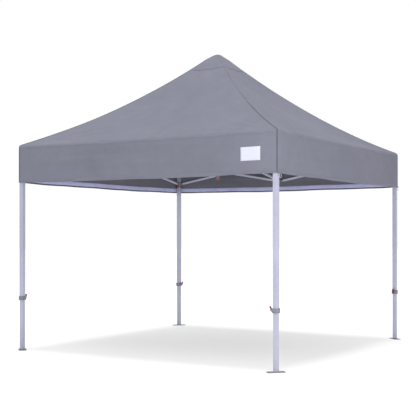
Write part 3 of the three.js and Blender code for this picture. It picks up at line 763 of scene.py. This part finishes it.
rest_sides, fold_sides = [], []
for k in range(4):
    ph = rng.uniform(0, 2 * math.pi, 24)
    X, Y = section(A0, RC, U)
    # ---- at rest
    dz = np.zeros_like(U)
    dn = np.zeros_like(U)
    # slopes hang a little between their hips, and the eave between its corners
    dz -= 0.020 * np.sin(math.pi * np.clip(TT, 0, 1)) ** 0.9 * np.cos(math.pi / 2 * U) ** 1.2 * (TT > 0)
    eave_drop = 0.009 * (1 - np.abs(U) ** 3.0)
    dz -= eave_drop * np.where(TT > 0, np.exp(-TT / 0.10), 1.0) * (1 - 0.35 * WW)
    # soft creases that run out of each corner and down from the peak
    for sgn in (-1, 1):
        dx, dy = (1 - sgn * U), TT * 2.2
        ang = np.arctan2(dy, dx + 1e-6)
        dist = np.hypot(dx, dy)
        fan = np.sin(13 * ang + ph[0] + sgn) * 0.0036 + np.sin(21 * ang + ph[1]) * 0.0018
        dz += fan * np.exp(-((dist - 0.35) / 0.30) ** 2) * smoothstep(0, 0.05, TT)
    dz += 0.0022 * np.sin(U * 9 + ph[2]) * smoothstep(0.55, 0.8, TT) * (1 - smoothstep(0.86, 0.95, TT))
    dz += (0.0016 * np.sin(7 * U + 11 * TT + ph[3]) + 0.0014 * np.sin(4 * U - 17 * TT + ph[4])) * smoothstep(0.02, 0.15, TT) * (1 - smoothstep(0.80, 0.93, TT)) * edge_fade
    # the valance: long slow waves that grow towards the hem, shallow level creases across it
    wave = 0.0042 * np.sin(2.3 * math.pi * U + ph[5]) + 0.0024 * np.sin(4.1 * math.pi * U + ph[6]) + 0.0011 * np.sin(8.6 * math.pi * U + ph[7])
    dn += wave * WW ** 1.3 * edge_fade
    lines = 0.0026 * np.sin(30 * WW + 2.4 * np.sin(2.1 * U + ph[8]) + ph[9]) + 0.0031 * np.sin(15 * WW - 2.4 * U + ph[10])
    dn += lines * np.sin(math.pi * np.clip(WW, 0, 1)) * edge_fade * (0.6 + 0.4 * np.sin(3 * U + ph[11]))
    dn += 0.0035 * np.sin(math.pi * WW) * (1 - np.abs(U) ** 4)              # it bellies out
    dn = np.clip(dn, -0.0075, 0.012)
    hem = (0.0022 * np.sin(2.0 * math.pi * U + ph[12]) + 0.0012 * np.sin(5.3 * math.pi * U + ph[13])) * edge_fade - 0.005 * (1 - U ** 2)
    dz += hem * WW ** 2
    P = np.stack([X + dn, Y, Z0 + dz], -1)
    rest_sides.append(P)

    # ---- gathered round the closed frame: slack loops hang outside the legs, in pleats
    key_t = [0.0, 0.012, 0.03, 0.10, 0.40, 0.455, 0.49, 0.52, 0.60, 0.80, 0.875, 0.915, 0.95, 0.975, 1.0]
    key_a = [0.1757, 0.181, 0.192, 0.206, 0.212, 0.222, 0.245, 0.272, 0.280, 0.262, 0.240, 0.205, 0.150, 0.095, 0.046]
    key_z = [2.125, 2.141, 2.146, 2.075, 1.435, 1.345, 1.315, 1.345, 1.500, 2.000, 2.120, 2.160, 2.160, 2.155, TOP_Z - FOLD_DROP]
    af, zf = np.interp(t_row, key_t, key_a), np.interp(t_row, key_t, key_z)
    vall = w_row > 0
    af = np.where(vall, 0.1757 + 0.012 * w_row ** 0.6, af)
    zf = np.where(vall, 2.125 - (EAVE_Z - HEM_Z) * w_row, zf)
    capped = np.arange(NR) > NR - 5
    af = np.where(capped, prof_a, af)
    zf = np.where(capped, prof_z - FOLD_DROP, zf)
    AF, ZF = np.broadcast_to(af[:, None], U.shape), np.broadcast_to(zf[:, None], U.shape)
    rcf = np.minimum(af * 0.93, np.interp(t_row, [0, 0.05, 0.45, 0.9, 1.0], [0.014, 0.04, 0.12, 0.12, 0.044]))
    rcf = np.where(vall, 0.014, rcf)
    XF, YF = section(AF, np.broadcast_to(rcf[:, None], U.shape), U)
    depth = np.interp(t_row, [0, 0.03, 0.10, 0.40, 0.49, 0.60, 0.80, 0.90, 0.95, 1.0], [0.0, 0.002, 0.008, 0.014, 0.040, 0.052, 0.040, 0.016, 0.004, 0.0])
    depth = np.where(vall, 0.006 * w_row, depth)[:, None]
    c = (U + 1) / 2
    pleat = 0.5 - 0.5 * np.cos(2 * math.pi * (5 * c + 0.10 * np.sin(2 * math.pi * c + ph[14])))
    pleat = pleat ** 0.8 * (0.8 + 0.2 * np.sin(2 * math.pi * 1.5 * c + ph[15]))
    lean = 0.022 * np.sin(2 * math.pi * 5 * c + 0.7) * depth / 0.05
    hang = np.interp(t_row, [0, 0.06, 0.30, 0.49, 0.72, 0.86, 1], [0, 0, 0.5, 1.0, 0.5, 0.0, 0])[:, None]
    low = hang * (0.055 * np.sin(2 * math.pi * c + ph[16]) + 0.035 * np.sin(2 * math.pi * 5 * c + ph[17]) * 0.6) * np.sin(math.pi * c)
    F = np.stack([XF + depth * pleat, YF + lean * edge_fade, ZF + low], -1)
    fold_sides.append(F)


def around(sides):
    """The four sides, each turned to its place, as one grid: rows by columns."""
    out = []
    for k, P in enumerate(sides):
        c, s = round(math.cos(math.pi / 2 * k)), round(math.sin(math.pi / 2 * k))
        out.append(np.stack([c * P[..., 0] - s * P[..., 1], s * P[..., 0] + c * P[..., 1], P[..., 2]], -1))
    return np.concatenate(out, 1)


REST, FOLD = around(rest_sides), around(fold_sides)
# the two sides that meet at a corner share its column: ease the small steps there
for G in (REST, FOLD):
    for k in range(4):
        j = k * NU
        G[:, j] = (G[:, j - 1] + G[:, (j + 1) % (4 * NU)]) / 2 * 0.35 + G[:, j] * 0.65
NC = 4 * NU
COL_U = np.concatenate([u_col + 0 for _ in range(4)])


def fabric_follow():
    """Node group: the top follows the frame as it closes. Eave to the legs, peak to the pole, slack into pleats."""
    g = bpy.data.node_groups.new("fabric_follow", "GeometryNodeTree")
    g.interface.new_socket("Geometry", in_out="INPUT", socket_type="NodeSocketGeometry")
    g.interface.new_socket("Geometry", in_out="OUTPUT", socket_type="NodeSocketGeometry")
    N = g.nodes.new
    gi, go, sp = N("NodeGroupInput"), N("NodeGroupOutput"), N("GeometryNodeSetPosition")

    def m(op, a, b=None):
        n = N("ShaderNodeMath")
        n.operation = op
        for i, v in enumerate((a, b)):
            if v is None:
                continue
            if isinstance(v, (int, float)):
                n.inputs[i].default_value = v
            else:
                g.links.new(v, n.inputs[i])
        return n.outputs[0]

    def where(body, axis):
        n = N("GeometryNodeObjectInfo")
        n.transform_space = "ORIGINAL"
        n.inputs["Object"].default_value = frame["bodies"][body]
        s = N("ShaderNodeSeparateXYZ")
        g.links.new(n.outputs["Location"], s.inputs[0])
        return s.outputs[axis]

    shut = m("MULTIPLY", where("upper_leg_front_right", "X"), -1 / FOLD_SHIFT)
    shut = m("MINIMUM", m("MAXIMUM", shut, 0.0), 1.0)
    drop = m("MULTIPLY", where("peak_pole", "Z"), -1.0)
    att = N("GeometryNodeInputNamedAttribute")
    att.data_type = "FLOAT_VECTOR"
    att.inputs["Name"].default_value = "closed_at"
    wt = N("GeometryNodeInputNamedAttribute")
    wt.data_type = "FLOAT"
    wt.inputs["Name"].default_value = "peak_share"
    pos = N("GeometryNodeInputPosition")
    mix = N("ShaderNodeMix")
    mix.data_type = "VECTOR"
    g.links.new(shut, mix.inputs[0])
    g.links.new(pos.outputs[0], mix.inputs[4])
    g.links.new(att.outputs["Attribute"], mix.inputs[5])
    lift = m("MULTIPLY", m("SUBTRACT", m("MULTIPLY", shut, FOLD_DROP), drop), wt.outputs["Attribute"])
    comb = N("ShaderNodeCombineXYZ")
    g.links.new(lift, comb.inputs[2])
    g.links.new(gi.outputs[0], sp.inputs["Geometry"])
    g.links.new(mix.outputs[1], sp.inputs["Position"])
    g.links.new(comb.outputs[0], sp.inputs["Offset"])
    g.links.new(sp.outputs[0], go.inputs[0])
    return g


FOLLOW = fabric_follow()


def cloth_object(name, rest, fold, share, faces, uv_loops, mats, face_mats, thick, offset=-1.0, inner=0, rim=0):
    me = bpy.data.meshes.new(name)
    me.from_pydata([tuple(p) for p in rest], [], faces)
    for m in mats:
        me.materials.append(m)
    me.polygons.foreach_set("material_index", face_mats)
    me.polygons.foreach_set("use_smooth", [True] * len(faces))
    uv = me.uv_layers.new(name="UVMap")
    uv.data.foreach_set("uv", np.asarray(uv_loops, np.float32).ravel())
    a = me.attributes.new("closed_at", "FLOAT_VECTOR", "POINT")
    a.data.foreach_set("vector", np.asarray(fold, np.float32).ravel())
    a = me.attributes.new("peak_share", "FLOAT", "POINT")
    a.data.foreach_set("value", np.asarray(share, np.float32))
    me.update()
    o = bpy.data.objects.new(name, me)
    bpy.context.scene.collection.objects.link(o)
    md = o.modifiers.new("follow", "NODES")
    md.node_group = FOLLOW
    if thick:
        so = o.modifiers.new("cloth", "SOLIDIFY")
        so.thickness, so.offset, so.use_even_offset, so.use_quality_normals = thick, offset, False, True
        so.material_offset, so.material_offset_rim = inner, rim
    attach(o, "upper_hub_and_canopy")
    return o


def share_of(z):
    t = np.clip((np.asarray(z) - EAVE_Z) / (TOP_Z - EAVE_Z), 0, 1)
    return t * t * (3 - 2 * t)


# ---- the sheet itself
rest_v = list(REST.reshape(-1, 3)) + [np.array([0, 0, PEAK_Z])]
fold_v = list(FOLD.reshape(-1, 3)) + [np.array([0, 0, PEAK_Z - FOLD_DROP])]
share_v = list(np.broadcast_to(share_of(prof_z)[:, None], (NR, NC)).ravel()) + [1.0]
faces, loops, fmat = [], [], []
Y_LOCAL = np.concatenate([P[..., 1] for P in rest_sides], 1)
for r in range(NR - 1):
    for j in range(NC):
        j2 = (j + 1) % NC
        faces.append((r * NC + j, r * NC + j2, (r + 1) * NC + j2, (r + 1) * NC + j))
        ya, yb = Y_LOCAL[r, j], Y_LOCAL[r, j2]
        yc, yd = Y_LOCAL[r + 1, j2], Y_LOCAL[r + 1, j]
        if (j + 1) % NU == 0:                    # the last strip of a side ends on the next side's first column
            yb, yc = -yb, -yc
        side = j // NU
        loops += [(ya + side * 4, rows_s[r]), (yb + side * 4, rows_s[r]), (yc + side * 4, rows_s[r + 1]), (yd + side * 4, rows_s[r + 1])]
        fmat.append(0)
last = (NR - 1) * NC
for j in range(NC):
    faces.append((last + j, last + (j + 1) % NC, len(rest_v) - 1))
    loops += [(0, rows_s[-1]), (0.001, rows_s[-1]), (0, rows_s[-1] + 0.006)]
    fmat.append(0)
canopy = cloth_object("canopy_sheet", rest_v, fold_v, share_v, faces, loops, [FABRIC, SHADED_LINING], fmat, THICK, -1.0, inner=1, rim=0)
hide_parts("canopy")


# ---- things sewn to the sheet: strips that lie on it, sampled from the same grids
def sample(G, s, r):
    """Point of grid G at column s (0..NC, wraps) and row r, both real-valued arrays."""
    s = np.mod(s, NC)
    j = np.floor(s).astype(int)
    fs = (s - j)[..., None]
    i = np.clip(np.floor(r).astype(int), 0, NR - 2)
    fr = (r - i)[..., None]
    a, b = j % NC, (j + 1) % NC
    return (G[i, a] * (1 - fs) + G[i, b] * fs) * (1 - fr) + (G[i + 1, a] * (1 - fs) + G[i + 1, b] * fs) * fr


def outward(G, s, r):
    e = 0.35
    ds = sample(G, s + e, r) - sample(G, s - e, r)
    dr = sample(G, s, np.clip(r + e, 0, NR - 1)) - sample(G, s, np.clip(r - e, 0, NR - 1))
    n = np.cross(ds, dr)
    return n / np.maximum(np.linalg.norm(n, axis=-1, keepdims=True), 1e-9)


def row_of(s_arc):
    return np.interp(s_arc, rows_s, np.arange(NR))


def col_of(side, y):
    """Column for a distance y along a side from its middle, at the eave's width."""
    ys = Y_LOCAL[5, side * NU:(side + 1) * NU]
    return side * NU + np.interp(y, ys, np.arange(NU))


def sewn(name, S, Rr, off, mats, thick=0.0012, offset=-1.0, closed=False, along=None, across=None, face_mat=None, away=None):
    """A strip over the sheet. S, Rr: arrays (m along, n across) of grid columns and rows; off: distance out of the sheet."""
    m, n = S.shape
    off = np.broadcast_to(off, S.shape)[..., None]
    rest = sample(REST, S, Rr) + outward(REST, S, Rr) * off
    fold = sample(FOLD, S, Rr) + outward(FOLD, S, Rr) * off
    zrow = sample(np.broadcast_to(np.array([0, 0, 1.0]) * prof_z[:, None, None], REST.shape), S, Rr)[..., 2]
    fs, lp, fm = [], [], []
    along = along if along is not None else np.concatenate([[0], np.cumsum(np.linalg.norm(np.diff(rest[:, n // 2], axis=0), axis=1))])
    across = across if across is not None else np.linspace(0, 1, n)
    for i in range(m if closed else m - 1):
        i2 = (i + 1) % m
        x1 = along[i2] if i2 else along[-1] + (along[-1] - along[-2])
        for j in range(n - 1):
            fs.append((i * n + j, i2 * n + j, i2 * n + j + 1, i * n + j + 1))
            lp += [(along[i], across[j]), (x1, across[j]), (x1, across[j + 1]), (along[i], across[j + 1])]
            fm.append(0 if face_mat is None else face_mat[j])
    return cloth_object(name, rest.reshape(-1, 3), fold.reshape(-1, 3), share_of(zrow).ravel(), fs, lp, mats, fm, thick, offset)


r_eave, r_top = row_of(EAVE_S), float(NR - 5)
# hip and corner seams: a folded ridge from hem to peak on each corner
for k, (corner, _, _, _) in enumerate([CORNERS[0], CORNERS[1], CORNERS[2], CORNERS[3]]):
    # grid column k*NU is the corner between side k-1 and side k: side 0 is +X, so column 0 is the front right corner
    col = k * NU
    rr = np.concatenate([np.linspace(0, r_eave, 30), np.linspace(r_eave, r_top - 0.2, 90)[1:]])
    halfw = 0.008
    # columns per metre differ by row: keep the strip the same width all the way up
    S = np.zeros((len(rr), 5))
    for i, r in enumerate(rr):
        step = np.linalg.norm(sample(REST, np.array([col + 1.0]), np.array([r]))[0] - sample(REST, np.array([col - 1.0]), np.array([r]))[0]) / 2
        d = min(halfw / max(step, 1e-4), NU / 2.2)
        S[i] = col + np.linspace(-d, d, 5)
    Rr = np.repeat(rr[:, None], 5, 1)
    off = np.array([0.0008, 0.0014, 0.0034, 0.0014, 0.0008])
    sewn(f"hip_seam_{corner}", S, Rr, off, [TAPE], thick=0.0010)

# peak patch: a second layer over the crown
pr = np.arange(int(row_of(np.interp(0.862, t_row, rows_s))), NR - 1)
cols = np.arange(NC)
S = np.repeat(cols[:, None].astype(float), len(pr), 1)
Rr = np.repeat(pr[None, :].astype(float), NC, 0)
off = np.full(len(pr), 0.0013)
off[0] = 0.0004
uvx = np.linspace(0, 1.6, NC)
patch = sewn("peak_patch", S, Rr, off, [FABRIC], thick=0.0006, closed=True, along=uvx, across=rows_s[pr],
             face_mat=None)
# eave seam: a narrow lap just under the turn
S = np.repeat(np.arange(NC)[:, None].astype(float), 4, 1)
Rr = np.repeat(row_of(np.array([EAVE_S - 0.030, EAVE_S - 0.026, EAVE_S - 0.016, EAVE_S - 0.012]))[None, :], NC, 0)
sewn("eave_seam", S, Rr, np.array([0.0006, 0.0012, 0.0012, 0.0006]), [HEM_OUT], thick=0.0009, closed=True, along=np.linspace(0, 12.1, NC))
# hem: turned up outside, a light band inside with a dark bound edge
Rr = np.repeat(row_of(np.array([0.0, 0.002, 0.026, 0.030]))[None, :], NC, 0)
sewn("outer_hem_fold", S, Rr, np.array([0.0010, 0.0019, 0.0019, 0.0008]), [HEM_OUT], thick=0.0009, closed=True, along=np.linspace(0, 12.1, NC))
Rr = np.repeat(row_of(np.array([0.012, 0.016, 0.056, 0.060]))[None, :], NC, 0)
sewn("inner_hem_strip", S, Rr, -THICK - np.array([0.0008, 0.0022, 0.0022, 0.0008]), [HEM_IN], thick=0.0008, offset=1.0, closed=True, along=np.linspace(0, 12.1, NC))
Rr = np.repeat(row_of(np.array([0.0, 0.0015, 0.0135, 0.0165]))[None, :], NC, 0)
sewn("hem_binding_strip", S, Rr, -THICK - np.array([0.0004, 0.0030, 0.0030, 0.0010]), [HEM_EDGE], thick=0.0008, offset=1.0, closed=True, along=np.linspace(0, 12.1, NC))
# plain patch on the front valance, near the front right corner
ys = np.linspace(1.145, 1.345, 14)
zs = np.linspace(0.120, 0.243, 8)
S = np.repeat(col_of(3, ys)[:, None], len(zs), 1)
Rr = np.repeat(row_of(zs)[None, :], len(ys), 0)
off = np.full((len(ys), len(zs)), 0.0022)
off[0], off[-1], off[:, 0], off[:, -1] = 0.0010, 0.0010, 0.0010, 0.0010
label = sewn("plain_patch", S, Rr, off, [LABEL], thick=0.0009, across=zs)

# ---- corner rings on webbing tabs: these move with the legs
for corner, sx, sy, deg in CORNERS:
    b = MB()
    # a webbing tab sewn to the valance's outer X face beside its corner, with a steel ring hanging from it
    O = place(sx * LEG, sy * LEG, 0 if sx > 0 else 180) @ Matrix.Translation((EAVE / MM - LEG + 3.6, 14 * sx, 0))
    tab = np.array([(-1.0, -8.5), (1.0, -8.5), (1.0, 8.5), (-1.0, 8.5)])
    b.loft([level(tab, z) for z in (1734, 1752)], WEBBING, O @ Matrix.Translation((-2.2, 0, 0)))
    path = [(-2.2, 1742), (1.4, 1740), (2.9, 1736), (2.9, 1732), (1.2, 1728.6), (-1.4, 1728.6), (-3.0, 1732), (-3.0, 1737)]
    c0 = np.array([0, 0, 1734.5])
    loop = [np.array([(x, -8, z), (x, 8, z), (x * 0.5, 8, (z + 1734.5) / 2), (x * 0.5, -8, (z + 1734.5) / 2)]) for x, z in path]
    b.loft(loop, WEBBING, O, cyclic=True)
    ring_o, wire, n = 18.0, 2.3, 48
    rings = []
    for i in range(n):
        a = 2 * math.pi * i / n
        c = np.array([0, math.sin(a), math.cos(a)])
        pts = []
        for q in range(10):
            p = 2 * math.pi * q / 10
            pts.append(c * (ring_o + wire * math.cos(p)) + np.array([wire * math.sin(p), 0, 0]) + (0, 0, 1717.3))
        rings.append(np.array(pts))
    b.loft(rings, CHROME, O, cyclic=True)
    b.make(f"corner_ring_{corner}", f"upper_leg_{corner}")

# ================================================================ camera, floor and light
cam = bpy.data.cameras.new("camera")
co = bpy.data.objects.new("camera", cam)
bpy.context.scene.collection.objects.link(co)
co.location = (5.1607, -8.6044, 1.2199)
co.rotation_euler = (math.pi / 2, 0, math.radians(31.559))
cam.sensor_width, cam.lens, cam.shift_y = 36.0, 915.35 / 416 * 36.0, (232.60 - 208) / 416
cam.clip_end = 200
bpy.context.scene.camera = co

floor_me = bpy.data.meshes.new("floor")
n = 96
aa = np.arange(n) * 2 * math.pi / n
floor_me.from_pydata([(60 * math.cos(a), 60 * math.sin(a), -0.0006) for a in aa], [], [tuple(range(n))])
floor = bpy.data.objects.new("floor", floor_me)
bpy.context.scene.collection.objects.link(floor)
fm = Nodes("pale_floor")
fm.to("Base Color", fm.ramp(fm.noise(0.8, 2.0), [(0.3, (0.49, 0.49, 0.485, 1)), (0.7, (0.51, 0.51, 0.505, 1))]))
fm.set(Roughness=1.0)
fm.bsdf.inputs["Specular IOR Level"].default_value = 0.0
fm.bsdf.inputs["Emission Color"].default_value = (1.0, 1.0, 0.995, 1)
fm.bsdf.inputs["Emission Strength"].default_value = 0.425       # a lit paper floor
floor_me.materials.append(fm.mat)

world = bpy.data.worlds.new("studio")
bpy.context.scene.world = world
world.use_nodes = True
bg = world.node_tree.nodes["Background"]
bg.inputs["Color"].default_value = (0.99, 0.993, 1.0, 1)
bg.inputs["Strength"].default_value = 1.02


def area_light(name, loc, target, size, power, colour=(1, 1, 1)):
    l = bpy.data.lights.new(name, "AREA")
    l.shape, l.size, l.energy, l.color = "DISK", size, power, colour
    o = bpy.data.objects.new(name, l)
    bpy.context.scene.collection.objects.link(o)
    o.location = loc
    o.rotation_euler = (Vector(target) - Vector(loc)).to_track_quat("-Z", "Y").to_euler()
    return o


area_light("key", (-1.0, -4.0, 9.5), (0, 0, 1.8), 5.0, 160)
area_light("low_right", (5.0, -5.0, 0.6), (1.2, -1.2, 1.9), 2.2, 190)
sun = bpy.data.lights.new("overhead", "SUN")
sun.energy, sun.angle = 1.3, math.radians(13)
sun_o = bpy.data.objects.new("overhead", sun)
bpy.context.scene.collection.objects.link(sun_o)
sun_o.location = (0, 0, 8)

bpy.context.scene.view_settings.view_transform = "Standard"
bpy.context.scene.view_settings.look = "None"
